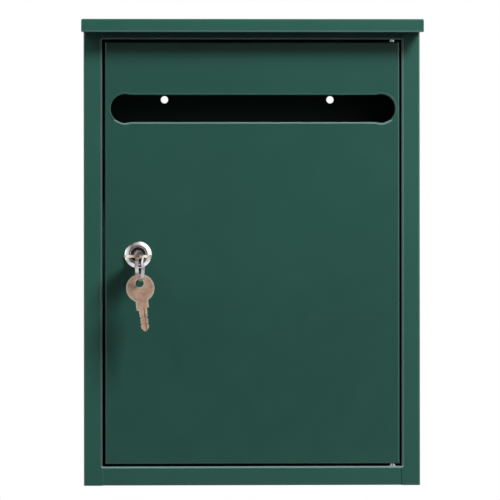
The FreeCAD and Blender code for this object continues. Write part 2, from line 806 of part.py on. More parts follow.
parts = {
    "cabinet_shell": make_cabinet_shell(),
    "top_panel": make_top_panel(),
    "bottom_panel": make_bottom_panel(),
    "lid": make_lid(),
    "door": make_door(),
    "hinge_pin_top": make_hinge_pin(opening_top, door_top),
    "hinge_pin_bottom": make_hinge_pin(opening_bottom, door_bottom),
    "hinge_washer_top": make_hinge_washer(door_top),
    "hinge_washer_bottom": make_shouldered_washer(opening_bottom),
    "lock_body": make_lock_body(),
    "lock_plug": make_lock_plug(),
    "lock_wafers": make_lock_wafers(),
    "lock_star_washer": make_star_washer(),
    "lock_nut": make_lock_nut(),
    "lock_stop_washer": make_stop_washer(),
    "lock_cam": make_lock_cam(),
    "cam_spring_washer": make_cam_spring_washer(),
    "cam_screw": make_cam_screw(),
    "key_in_lock": make_key_in_lock(),
    "key_ring": make_key_ring(),
    "spare_key": make_spare_key(),
}

os.makedirs("parts", exist_ok=True)
for name, shape in parts.items():
    shape.exportStep("parts/" + name + ".step")
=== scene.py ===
import json
import math

import bmesh
import bpy
from bpy.props import FloatProperty, FloatVectorProperty, PointerProperty
from mathutils import Matrix, Vector


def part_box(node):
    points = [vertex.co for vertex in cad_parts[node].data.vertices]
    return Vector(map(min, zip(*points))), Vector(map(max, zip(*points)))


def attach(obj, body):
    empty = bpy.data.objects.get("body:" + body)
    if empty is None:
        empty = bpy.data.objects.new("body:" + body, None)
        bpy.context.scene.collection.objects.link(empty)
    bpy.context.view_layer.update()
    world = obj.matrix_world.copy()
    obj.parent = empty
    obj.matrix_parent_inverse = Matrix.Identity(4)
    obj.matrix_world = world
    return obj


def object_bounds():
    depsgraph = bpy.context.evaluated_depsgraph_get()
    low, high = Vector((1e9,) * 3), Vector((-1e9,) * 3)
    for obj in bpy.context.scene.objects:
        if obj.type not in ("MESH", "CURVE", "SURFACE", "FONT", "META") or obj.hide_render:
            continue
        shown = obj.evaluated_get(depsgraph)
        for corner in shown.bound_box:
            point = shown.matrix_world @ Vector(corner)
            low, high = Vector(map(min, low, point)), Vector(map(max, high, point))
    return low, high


bl_info = {
    "name": "Wall Post Box",
    "version": (1, 0, 0),
    "blender": (4, 5, 0),
    "location": "View3D > Sidebar > Post Box",
    "description": "Finishes, small pieces and studio for a wall mounted post box",
    "category": "Object",
}

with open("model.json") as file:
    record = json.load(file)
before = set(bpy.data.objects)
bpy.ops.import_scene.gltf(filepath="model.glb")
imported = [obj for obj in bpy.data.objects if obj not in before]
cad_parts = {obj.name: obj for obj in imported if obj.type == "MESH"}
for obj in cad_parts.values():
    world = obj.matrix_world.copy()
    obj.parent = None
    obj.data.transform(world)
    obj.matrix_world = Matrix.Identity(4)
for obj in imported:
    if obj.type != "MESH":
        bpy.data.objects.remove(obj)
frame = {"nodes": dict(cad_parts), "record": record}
cad_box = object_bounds()

MM = 0.001
MERGE_REACH = 0.001 * MM
SHARP_ANGLE = math.radians(40.0)

CABINET_NODES = ("cabinet_shell", "top_panel", "bottom_panel", "lid")
ZINC_NODES = (
    "hinge_pin_top",
    "hinge_pin_bottom",
    "hinge_washer_top",
    "hinge_washer_bottom",
    "lock_star_washer",
    "lock_nut",
    "lock_stop_washer",
    "lock_cam",
    "cam_spring_washer",
    "cam_screw",
)

# Keys, measured from the middle of the ring hole, with the blade along -Z
BOW_RADIUS = 10.7 * MM
BOW_MIDDLE = -3.8 * MM
HOLE_RADIUS = 3.0 * MM
NECK_HALF = 4.75 * MM
NECK_END = -19.5 * MM
BLADE_HALF = 3.2 * MM
HELD_TURN = (math.radians(90.0), 0.0, 0.0)
SPARE_TURN = (0.0, math.radians(-7.0), 0.0)
RIM_WANDER = 0.7 * MM

# Crown of the lock's bezel, as radii and heights over the cabinet's front
CROWN_MIDDLE = 8.98 * MM
CROWN_REACH = 1.82 * MM
CROWN_EDGE = 0.6 * MM
CROWN_RISE = 1.94 * MM
CROWN_SWEEP = math.radians(70.0)
CROWN_STEPS = 14
CROWN_INSIDE = (
    (7.50 * MM, 3.20 * MM),
    (7.32 * MM, 3.22 * MM),
    (7.20 * MM, 3.14 * MM),
    (7.15 * MM, 3.00 * MM),
    (7.15 * MM, 1.45 * MM),
    (10.0 * MM, 0.30 * MM),
    (10.8 * MM, 0.05 * MM),
)
PLUG_RIM_RADIUS = 6.2 * MM
PLUG_RIM_WIRE = 0.28 * MM
PLUG_RIM_POINTS = 14
PLUG_FACE_HEIGHT = 2.0 * MM
PLUG_WANDER = 2.6 * MM
PLUG_RAMP_LENGTH = 10.0 * MM
TURN_STEPS = 96

# Edges of the sheet that show rounded
SLOT_LEFT = -98.0 * MM
SLOT_RIGHT = 99.6 * MM
SLOT_MIDDLE = 111.8 * MM
SLOT_END_RADIUS = 11.2 * MM
SLOT_HALF_HEIGHT = 10.5 * MM
STILE_WIDTH = 14.3 * MM
TOP_RAIL = 13.9 * MM
BOTTOM_RAIL = 14.7 * MM
OPENING_CORNER = 0.8 * MM
LID_OVERHANG = 15.0 * MM
LID_FLANGE = 10.0 * MM
EDGE_TALL = 0.28 * MM
EDGE_WIDE = 0.8 * MM
EDGE_POINTS = 24
EDGE_TAPER = 2.0 * MM
ARC_STEP = math.radians(6.0)
ARC_STEPS_LEAST = 6
# Painted highlight: how much lighter than the edge paint the slot's lower lip and the frame's bottom
# and top runs are painted
LIP_HIGHLIGHT_TONE = 2.0
RAIL_HIGHLIGHT_TONE = 2.8
RUN_MARGIN = 0.5 * MM
SLOT_RUN_SHARE = 0.85
LID_EDGE_RISE = 0.3 * MM
LID_EDGE_INSET = 0.4 * MM
LID_EDGE_WIDE = 0.55 * MM
LID_EDGE_TALL = 0.3 * MM
SEAM_ASIDE = 0.15 * MM
SEAM_MIDDLE = 6.4 * MM
SEAM_HALF = 6.2 * MM
SEAM_WIDE = 0.5 * MM
SEAM_TALL = 0.2 * MM

# Gloss of the paint and metals
PAINT_SPECULAR = 0.35
PAINT_COAT = 0.25
PAINT_COAT_ROUGHNESS = 0.16
CHROME_ROUGHNESS = 0.09
RING_ROUGHNESS = 0.28
PLATE_ROUGHNESS = 0.30
KEY_ROUGHNESS = (0.26, 0.42)
KEY_METALLIC = 0.45
PLUG_RIM_TONE = 0.95

# How far the finishes vary, over the middle part of a noise
NOISE_LOW = 0.3
NOISE_HIGH = 0.7
PAINT_DRIFT = (0.94, 1.06)
PAINT_ROUGHER = (-0.03, 0.04)
CLOUD_TONES = (0.85, 1.08)
GRAIN_SHARES = (0.75, 1.3)

# Relief of the finishes, as height and strength
PEEL = (0.03 * MM, 0.6)
GRAIN = (0.01 * MM, 0.5)
SCRATCHES = (0.02 * MM, 0.6)
RUBS = (0.04 * MM, 0.7)

# Waves per metre of the patterns in the finishes
DRIFT_WAVES = 9.0
GLOSS_WAVES = 60.0
CLOUD_WAVES = 220.0
STAIN_WAVES = 260.0
RUBBED_WAVES = 420.0
SCRATCH_WAVES = 500.0
FINE_WAVES = 900.0

# Lamps as place, width and height, and the point that they look at
MAIN_LAMP = ((0.80, -1.02, 1.22), 0.46, 0.50)
LEFT_LAMP = ((-0.62, -0.72, 0.80), 0.30, 0.30)
LAMP_AIM = (0.0, -0.09, 0.0)

# The room in mirrors and sheen, from behind the camera (0) to behind the box (1)
MIRRORED_ROOM = ((0.0, 0.12), (0.14, 0.14), (0.3, 0.65), (0.45, 2.0), (0.66, 2.0), (0.84, 0.6))
MIRRORED_LEAST = 0.08

# Patches of that room, as direction, inner and outer angle in degrees, and strength; a dark
# one takes light away
SOFT_WALLS = (
    ((0.20, -0.76, 0.62), 8.0, 36.0, 0.55),
    ((0.66, -0.52, 0.54), 24.0, 46.0, 1.15),
    ((0.78, -0.60, -0.22), 20.0, 46.0, 0.65),
    ((-0.90, -0.42, 0.05), 22.0, 50.0, 0.85),
    ((-0.50, -0.05, 0.86), 22.0, 46.0, -2.4),
    ((0.93, 0.05, -0.36), 10.0, 30.0, -2.4),
)

# Floor: what it throws back on the box, what is seen of it, and the glow that is seen
FLOOR_BOUNCE = 0.16
FLOOR_SEEN = 0.84
FLOOR_GLOW = 0.25
FLOOR_ROUGHNESS = 0.9

SENSOR_WIDTH = 36.0


class PostBoxPaint(bpy.types.PropertyGroup):
    """The stoved paint on the folded sheet."""

    colour: FloatVectorProperty(
        name="Paint Colour",
        description="Dark blue-green of the stoved paint",
        subtype="COLOR",
        size=3,
        min=0.0,
        max=1.0,
        default=(0.0175, 0.0760, 0.0585),
    )
    # Painted highlight: a lighter, greyer paint for the light that the rounded edges of the sheet catch
    edge_highlight_colour: FloatVectorProperty(
        name="Edge Colour",
        description="Thin, rubbed coat along the edges of the sheet",
        subtype="COLOR",
        size=3,
        min=0.0,
        max=1.0,
        default=(0.066, 0.122, 0.112),
    )
    # Painted light: the cabinet's and lid's paint is a lighter copy of the door's, for the brighter
    # light on the stiles and lid
    cabinet_painted_light: FloatProperty(
        name="Cabinet Tone",
        description="How much lighter the cabinet's and lid's coat dried than the door's",
        subtype="FACTOR",
        default=1.2,
        min=0.5,
        max=2.0,
    )
    cabinet_roughness: FloatProperty(
        name="Cabinet Roughness",
        description="Satin gloss of the cabinet's and lid's coat",
        subtype="FACTOR",
        default=0.43,
        min=0.0,
        max=1.0,
    )
    roughness: FloatProperty(
        name="Door Roughness",
        description="Satin gloss of the door's coat",
        subtype="FACTOR",
        default=0.35,
        min=0.0,
        max=1.0,
    )
    flow: FloatProperty(
        name="Orange Peel",
        description="Width of the shallow waves that the paint dries with",
        subtype="DISTANCE",
        unit="LENGTH",
        default=1.6 * MM,
    )


class PostBoxMetals(bpy.types.PropertyGroup):
    """The plated and bare metals of the lock, hinge, ring and keys."""

    zinc: FloatVectorProperty(
        name="Zinc Plate",
        description="Pins, washers, nut, cam and screw",
        subtype="COLOR",
        size=3,
        default=(0.55, 0.56, 0.58),
    )
    chrome: FloatVectorProperty(
        name="Chrome",
        description="Bezel of the lock",
        subtype="COLOR",
        size=3,
        default=(0.72, 0.72, 0.74),
    )
    plug: FloatVectorProperty(
        name="Lock Plug",
        description="Face of the turning plug",
        subtype="COLOR",
        size=3,
        default=(0.16, 0.14, 0.16),
    )
    brass: FloatVectorProperty(
        name="Wafer Brass",
        description="Wafers of the lock",
        subtype="COLOR",
        size=3,
        default=(0.60, 0.42, 0.20),
    )
    nickel: FloatVectorProperty(
        name="Ring Nickel",
        description="Plate on the split ring",
        subtype="COLOR",
        size=3,
        default=(0.46, 0.43, 0.45),
    )
    key_face: FloatVectorProperty(
        name="Key Face",
        description="Flat sides of the keys",
        subtype="COLOR",
        size=3,
        default=(0.68, 0.41, 0.29),
    )
    key_rim: FloatVectorProperty(
        name="Key Rim",
        description="Cut edges of the keys",
        subtype="COLOR",
        size=3,
        default=(0.66, 0.62, 0.50),
    )


class PostBoxStudio(bpy.types.PropertyGroup):
    """The camera, the lamps, the room and the floor."""

    distance: FloatProperty(
        name="Camera Distance",
        description="From the lens to the front of the cabinet",
        subtype="DISTANCE",
        unit="LENGTH",
        default=1.4,
    )
    frame_width: FloatProperty(
        name="Frame Width",
        description="Width of the picture at the front of the cabinet",
        subtype="DISTANCE",
        unit="LENGTH",
        default=0.386,
    )
    camera_side: FloatProperty(
        name="Camera Side",
        description="Place of the lens to the right of the middle",
        subtype="DISTANCE",
        unit="LENGTH",
        default=-60.0 * MM,
    )
    camera_height: FloatProperty(
        name="Camera Height",
        description="Place of the lens above the middle",
        subtype="DISTANCE",
        unit="LENGTH",
        default=2.6 * MM,
    )
    picture_middle: FloatProperty(
        name="Picture Middle",
        description="Point of the front in the picture's middle, to the right of the cabinet's middle",
        subtype="DISTANCE",
        unit="LENGTH",
        default=-1.6 * MM,
    )
    shift_share: FloatProperty(
        name="Shift Share",
        description="Part of the sideways offset that the lens shift takes; a turn takes the rest",
        subtype="FACTOR",
        default=0.7,
        min=0.0,
        max=1.0,
    )
    roll: FloatProperty(
        name="Camera Roll",
        description="Lean of the picture",
        subtype="ANGLE",
        unit="ROTATION",
        default=math.radians(0.05),
    )
    lamp_power: FloatProperty(
        name="Main Lamp",
        description="Power of the main soft lamp",
        unit="POWER",
        default=41.0,
    )
    left_power: FloatProperty(
        name="Left Lamp",
        description="Power of the weak lamp at the left",
        unit="POWER",
        default=1.9,
    )
    room_level: FloatProperty(
        name="Room Level",
        description="How much light the room behind the box gives",
        subtype="FACTOR",
        default=0.6,
        min=0.0,
        max=1.0,
    )
    front_level: FloatProperty(
        name="Front Level",
        description="How much light the room behind the camera gives",
        subtype="FACTOR",
        default=0.022,
        min=0.0,
        max=1.0,
    )
    floor_drop: FloatProperty(
        name="Floor Drop",
        description="Height of the hung box above the floor",
        subtype="DISTANCE",
        unit="LENGTH",
        default=0.5,
    )
    floor_half: FloatProperty(
        name="Floor Half Size",
        description="From the middle of the floor to its edge",
        subtype="DISTANCE",
        unit="LENGTH",
        default=1.6,
    )


def frame_front():
    """The plane of the cabinet's front."""
    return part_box("cabinet_shell")[0].y


def joint_place(name):
    """Where a joint's axis passes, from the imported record."""
    joints = frame["record"]["behaviour"]["joints"]
    return next(joint["pos_m"] for joint in joints if joint["name"] == name)


def key_hole_in_lock():
    """The middle of the ring hole of the key in the lock."""
    low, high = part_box("key_in_lock")
    bow_middle = low.y + BOW_RADIUS
    return ((low.x + high.x) / 2, bow_middle + BOW_MIDDLE, (low.z + high.z) / 2)


def new_material(name):
    """A material with its shader, ready for more nodes."""
    material = bpy.data.materials.new(name)
    material.use_nodes = True
    tree = material.node_tree
    shader = tree.nodes["Principled BSDF"]
    return material, tree, shader


def add_node(tree, kind, **inputs):
    """A node with some of its input values set by name."""
    node = tree.nodes.new(kind)
    for name, value in inputs.items():
        node.inputs[name.replace("_", " ")].default_value = value
    return node


def joined(tree, operation, first, second):
    """A math node on two sockets or numbers."""
    node = tree.nodes.new("ShaderNodeMath")
    node.operation = operation
    for index, value in enumerate((first, second)):
        if isinstance(value, (int, float)):
            node.inputs[index].default_value = value
        else:
            tree.links.new(value, node.inputs[index])
    return node.outputs["Value"]


def length_of(tree, first, second):
    """The length of a vector from its two parts."""
    total = joined(tree, "MULTIPLY", first, first)
    other = joined(tree, "MULTIPLY", second, second)
    return joined(tree, "SQRT", joined(tree, "ADD", total, other), 0.0)


def object_noise(tree, scale, detail=4.0, roughness=0.5, stretch=None):
    """Noise on object coordinates, with scale in waves per metre."""
    place = tree.nodes.new("ShaderNodeTexCoord")
    noise = add_node(tree, "ShaderNodeTexNoise", Scale=scale, Detail=detail, Roughness=roughness)
    if stretch:
        mapping = tree.nodes.new("ShaderNodeMapping")
        mapping.inputs["Scale"].default_value = stretch
        tree.links.new(place.outputs["Object"], mapping.inputs["Vector"])
        tree.links.new(mapping.outputs["Vector"], noise.inputs["Vector"])
    else:
        tree.links.new(place.outputs["Object"], noise.inputs["Vector"])
    return noise


def ramp_between(tree, source, stops):
    """A colour ramp on a value, with stops as (place, colour)."""
    ramp = tree.nodes.new("ShaderNodeValToRGB")
    elements = ramp.color_ramp.elements
    while len(elements) < len(stops):
        elements.new(0.5)
    for element, (place, colour) in zip(elements, stops):
        element.position = place
        element.color = (*colour, 1.0)
    tree.links.new(source, ramp.inputs["Fac"])
    return ramp


def noise_ramp(tree, noise, low, high):
    """A colour ramp from one colour to another over the middle part of a noise."""
    return ramp_between(tree, noise.outputs["Fac"], ((NOISE_LOW, low), (NOISE_HIGH, high)))


def grey(value):
    """A colour with its three channels alike."""
    return (value, value, value)


def between(first, second, share):
    """A colour a share of the way from one colour to another."""
    return tuple(a + (b - a) * share for a, b in zip(first, second))


def scaled(colour, factor):
    """A colour made lighter or darker by a factor."""
    return tuple(min(1.0, channel * factor) for channel in colour)


def add_bump(tree, shader, source, height, strength):
    """Relief of a height in metres, from a value between 0 and 1."""
    bump = add_node(tree, "ShaderNodeBump", Strength=strength, Distance=height)
    tree.links.new(source, bump.inputs["Height"])
    tree.links.new(bump.outputs["Normal"], shader.inputs["Normal"])


def paint_material(name, paint, base, tone, roughness):
    """Stoved satin paint: slight colour drift, uneven gloss and orange peel."""
    material, tree, shader = new_material(name)
    drift = object_noise(tree, DRIFT_WAVES, detail=3.0)
    # A tone above 1 gives a lighter copy of the paint; the cabinet and edge copies are painted light
    colour = noise_ramp(tree, drift, *(scaled(base, share * tone) for share in PAINT_DRIFT))
    tree.links.new(colour.outputs["Color"], shader.inputs["Base Color"])
    gloss = object_noise(tree, GLOSS_WAVES, detail=5.0)
    spread = noise_ramp(tree, gloss, *(grey(roughness + more) for more in PAINT_ROUGHER))
    tree.links.new(spread.outputs["Color"], shader.inputs["Roughness"])
    shader.inputs["Specular IOR Level"].default_value = PAINT_SPECULAR
    shader.inputs["Coat Weight"].default_value = PAINT_COAT
    shader.inputs["Coat Roughness"].default_value = PAINT_COAT_ROUGHNESS
    peel = object_noise(tree, 1.0 / paint.flow, detail=2.0)
    add_bump(tree, shader, peel.outputs["Fac"], *PEEL)
    return material


def plated_material(name, colour, roughness):
    """Plated metal with a little clouding and fine grain."""
    material, tree, shader = new_material(name)
    shader.inputs["Metallic"].default_value = 1.0
    cloud = object_noise(tree, CLOUD_WAVES, detail=5.0)
    tone = noise_ramp(tree, cloud, *(scaled(colour, share) for share in CLOUD_TONES))
    tree.links.new(tone.outputs["Color"], shader.inputs["Base Color"])
    grain = object_noise(tree, FINE_WAVES, detail=4.0)
    spread = noise_ramp(tree, grain, *(grey(roughness * share) for share in GRAIN_SHARES))
    tree.links.new(spread.outputs["Color"], shader.inputs["Roughness"])
    add_bump(tree, shader, grain.outputs["Fac"], *GRAIN)
    return material


def key_middle(tree, hole, turn):
    """Object coordinates centred on a key's ring hole, with its blade along -Z."""
    place = tree.nodes.new("ShaderNodeTexCoord")
    mapping = tree.nodes.new("ShaderNodeMapping")
    mapping.vector_type = "TEXTURE"
    mapping.inputs["Location"].default_value = hole
    mapping.inputs["Rotation"].default_value = turn
    tree.links.new(place.outputs["Object"], mapping.inputs["Vector"])
    split = tree.nodes.new("ShaderNodeSeparateXYZ")
    tree.links.new(mapping.outputs["Vector"], split.inputs["Vector"])
    return split.outputs["X"], split.outputs["Z"]


def key_rim(tree, across, along):
    """How far a point lies inside a key's outline and outside its hole, in metres."""
    bow_along = joined(tree, "SUBTRACT", along, BOW_MIDDLE)
    bow = joined(tree, "SUBTRACT", BOW_RADIUS, length_of(tree, across, bow_along))
    side = joined(tree, "ABSOLUTE", across, 0.0)
    half = joined(tree, "LESS_THAN", along, NECK_END)
    half = joined(tree, "MULTIPLY", half, BLADE_HALF - NECK_HALF)
    half = joined(tree, "ADD", half, NECK_HALF)
    blade = joined(tree, "SUBTRACT", half, side)
    inside = joined(tree, "MAXIMUM", bow, blade)
    hole = joined(tree, "SUBTRACT", length_of(tree, across, along), HOLE_RADIUS)
    return joined(tree, "MINIMUM", inside, hole)


def key_material(name, metals, hole, turn):
    """Brass-brown flat sides, paler in patches, and paler along their rims: partly plate left there,
    partly a painted highlight on the cut edges.
    """
    material, tree, shader = new_material(name)
    shader.inputs["Metallic"].default_value = KEY_METALLIC
    across, along = key_middle(tree, hole, turn)
    rim_depth = key_rim(tree, across, along)
    ragged = object_noise(tree, FINE_WAVES, detail=4.0)
    wander = joined(tree, "MULTIPLY", ragged.outputs["Fac"], RIM_WANDER)
    rim_depth = joined(tree, "SUBTRACT", rim_depth, wander)
    rim_depth = joined(tree, "MULTIPLY", rim_depth, 1.0 / MM)
    # Paler rim: partly plate left along the edges, partly a painted highlight of the cut edges
    rim = ramp_between(tree, rim_depth, ((0.5, grey(0.0)), (0.9, grey(1.0))))
    stain = object_noise(tree, STAIN_WAVES, detail=6.0, roughness=0.6)
    face = ramp_between(
        tree,
        stain.outputs["Fac"],
        (
            (0.30, scaled(metals.key_face, 0.68)),
            (0.47, metals.key_face),
            (0.54, between(metals.key_face, metals.key_rim, 0.45)),
            (0.60, scaled(metals.key_face, 1.1)),
            (0.72, scaled(metals.key_face, 1.35)),
        ),
    )
    mix = tree.nodes.new("ShaderNodeMix")
    mix.data_type = "RGBA"
    tree.links.new(rim.outputs["Color"], mix.inputs["Factor"])
    mix.inputs["A"].default_value = (*metals.key_rim, 1.0)
    tree.links.new(face.outputs["Color"], mix.inputs["B"])
    tree.links.new(mix.outputs["Result"], shader.inputs["Base Color"])
    scratches = object_noise(tree, SCRATCH_WAVES, detail=6.0, stretch=(1.0, 1.0, 0.15))
    spread = noise_ramp(tree, scratches, *(grey(roughness) for roughness in KEY_ROUGHNESS))
    tree.links.new(spread.outputs["Color"], shader.inputs["Roughness"])
    add_bump(tree, shader, scratches.outputs["Fac"], *SCRATCHES)
    return material


def plug_material(name, colour, middle):
    """Dark plate, rubbed bright about the keyway; its darkness, deepest in a ring out towards its rim,
    is partly a painted dark reflection.
    """
    material, tree, shader = new_material(name)
    shader.inputs["Metallic"].default_value = 1.0
    across, along = key_middle(tree, middle, (0.0, 0.0, 0.0))
    rubbed = object_noise(tree, RUBBED_WAVES, detail=4.0)
    wander = joined(tree, "MULTIPLY", rubbed.outputs["Fac"], PLUG_WANDER)
    reach = joined(tree, "ADD", length_of(tree, across, along), wander)
    reach = joined(tree, "MULTIPLY", reach, 1.0 / PLUG_RAMP_LENGTH)
    # Painted reflection: the plate is darkened further in a ring out towards its rim, for the dark room
    # that it reflects
    tone = ramp_between(
        tree,
        reach,
        (
            (0.36, scaled(colour, 4.2)),
            (0.50, scaled(colour, 0.55)),
            (0.68, scaled(colour, 0.35)),
            (0.76, scaled(colour, 1.5)),
        ),
    )
    tree.links.new(tone.outputs["Color"], shader.inputs["Base Color"])
    spread = ramp_between(tree, reach, ((0.36, grey(0.55)), (0.54, grey(0.25))))
    tree.links.new(spread.outputs["Color"], shader.inputs["Roughness"])
    add_bump(tree, shader, rubbed.outputs["Fac"], *RUBS)
    return material


def dress_node(name, material):
    """A CAD node keeps its mesh and takes a finish."""
    mesh = frame["nodes"][name].data
    mesh.materials.clear()
    mesh.materials.append(material)


def finish_piece(mesh_data, name, body, material):
    """A finished bmesh becomes a piece that rides on a body."""
    mesh = bpy.data.meshes.new(name)
    bmesh.ops.remove_doubles(mesh_data, verts=mesh_data.verts, dist=MERGE_REACH)
    bmesh.ops.recalc_face_normals(mesh_data, faces=mesh_data.faces)
    for face in mesh_data.faces:
        face.smooth = True
    mesh_data.to_mesh(mesh)
    mesh_data.free()
    mesh.set_sharp_from_angle(angle=SHARP_ANGLE)
    mesh.materials.append(material)
    piece = bpy.data.objects.new(name, mesh)
    bpy.context.collection.objects.link(piece)
    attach(piece, body)
    return piece


def swung(shape, vert, centre, turn, steps):
    """An arc drawn from a vertex about a centre in the XY plane; gives its far end."""
    arc = bmesh.ops.spin(shape, geom=[vert], cent=centre, axis=(0.0, 0.0, 1.0), angle=turn, steps=steps)
    return next(item for item in arc["geom_last"] if isinstance(item, bmesh.types.BMVert))


def turned_about_lock(shape, place):
    """A profile of radius along X is turned about Y, and moved to the lock's axis."""
    bmesh.ops.spin(
        shape,
        geom=shape.verts[:] + shape.edges[:],
        cent=(0.0, 0.0, 0.0),
        axis=(0.0, 1.0, 0.0),
        angle=math.tau,
        steps=TURN_STEPS,
        use_merge=True,
    )
    bmesh.ops.translate(shape, verts=shape.verts, vec=place)


def bezel_crown(place):
    """The bezel: a round outer edge, a cone up to the recess, and its hidden back."""
    shape = bmesh.new()
    centre = (CROWN_MIDDLE, -CROWN_EDGE, 0.0)
    foot = bmesh.ops.create_vert(shape, co=(CROWN_MIDDLE + CROWN_REACH, -CROWN_EDGE, 0.0))["vert"][0]
    last = swung(shape, foot, centre, -CROWN_SWEEP, CROWN_STEPS)
    low = Matrix.Translation((0.0, CROWN_EDGE, 0.0))
    bmesh.ops.scale(shape, verts=shape.verts, vec=(1.0, CROWN_RISE / CROWN_REACH, 1.0), space=low)
    for radius, height in CROWN_INSIDE:
        corner = bmesh.ops.create_vert(shape, co=(radius, -height, 0.0))["vert"][0]
        shape.edges.new((last, corner))
        last = corner
    shape.edges.new((last, foot))
    turned_about_lock(shape, place)
    return shape


def plug_rim(place):
    """The polished bead round the plug's face."""
    shape = bmesh.new()
    middle = Matrix.Translation((PLUG_RIM_RADIUS, -PLUG_FACE_HEIGHT, 0.0))
    bmesh.ops.create_circle(
        shape,
        cap_ends=False,
        segments=PLUG_RIM_POINTS,
        radius=PLUG_RIM_WIRE,
        matrix=middle,
    )
    turned_about_lock(shape, place)
    return shape


def edge_arc(shape, centre, radius, start, turn, front):
    """A rounded edge along an arc in the front's plane; gives the rings at its two ends."""
    middle = (centre[0], front, centre[1])
    ring = bmesh.ops.create_circle(shape, cap_ends=False, segments=EDGE_POINTS, radius=1.0)["verts"]
    bmesh.ops.scale(shape, verts=ring, vec=(EDGE_WIDE, EDGE_TALL, 1.0))
    bmesh.ops.translate(shape, verts=ring, vec=(radius, 0.0, 0.0))
    bmesh.ops.rotate(shape, verts=ring, cent=(0.0, 0.0, 0.0), matrix=Matrix.Rotation(-start, 3, "Y"))
    bmesh.ops.translate(shape, verts=ring, vec=middle)
    first = list(dict.fromkeys(edge for vert in ring for edge in vert.link_edges))
    steps = max(ARC_STEPS_LEAST, round(turn / ARC_STEP))
    sweep = bmesh.ops.spin(
        shape,
        geom=ring + first,
        cent=middle,
        axis=(0.0, 1.0, 0.0),
        angle=-turn,
        steps=steps,
    )
    last = [item for item in sweep["geom_last"] if isinstance(item, bmesh.types.BMEdge)]
    return first, last


def edge_loop(arcs, front):
    """A rounded edge all round an opening, from its arcs with straight runs between them."""
    shape = bmesh.new()
    ends = [edge_arc(shape, *arc, front) for arc in arcs]
    for (_, last), (first, _) in zip(ends, ends[1:] + ends[:1]):
        bmesh.ops.bridge_loops(shape, edges=last + first)
    return shape


def slot_rim(front):
    """The rolled edge of the letter slot."""
    half_turn = math.pi - math.asin(SLOT_HALF_HEIGHT / SLOT_END_RADIUS)
    radius = SLOT_END_RADIUS + EDGE_WIDE
    right = ((SLOT_RIGHT, SLOT_MIDDLE), radius, -half_turn, 2.0 * half_turn)
    left = ((SLOT_LEFT, SLOT_MIDDLE), radius, math.pi - half_turn, 2.0 * half_turn)
    return edge_loop((right, left), front)


def opening_rim(front):
    """The bend of the frame round the door."""
    low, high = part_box("cabinet_shell")
    left = low.x + STILE_WIDTH + OPENING_CORNER
    right = high.x - STILE_WIDTH - OPENING_CORNER
    top = cad_box[1].z - TOP_RAIL - OPENING_CORNER
    bottom = cad_box[0].z + BOTTOM_RAIL + OPENING_CORNER
    quarter = math.pi / 2
    radius = OPENING_CORNER + EDGE_WIDE
    corners = ((right, top), (left, top), (left, bottom), (right, bottom))
    arcs = [(corner, radius, quarter * index, quarter) for index, corner in enumerate(corners)]
    return edge_loop(arcs, front)


def straight_edge(place, half_length, along, wide, tall):
    """A straight rounded edge, fine at its ends, along X or Z."""
    shape = bmesh.new()
    bmesh.ops.create_uvsphere(shape, u_segments=EDGE_POINTS, v_segments=EDGE_POINTS // 2, radius=1.0)
    bmesh.ops.scale(shape, verts=shape.verts, vec=(wide, tall, EDGE_TAPER))
    for vert in shape.verts:
        if abs(vert.co.z) > MERGE_REACH:
            vert.co.z += math.copysign(half_length - EDGE_TAPER, vert.co.z)
    if along == "X":
        quarter = Matrix.Rotation(math.pi / 2, 3, "Y")
        bmesh.ops.rotate(shape, verts=shape.verts, cent=(0.0, 0.0, 0.0), matrix=quarter)
    bmesh.ops.translate(shape, verts=shape.verts, vec=place)
    return shape


def highlight_runs(piece, lower, upper, material):
    """The runs of an edge below one height and above another take a paler paint, a painted highlight.
    """
    piece.data.materials.append(material)
    for face in piece.data.polygons:
        if face.center.z < lower or face.center.z > upper:
            face.material_index = 1


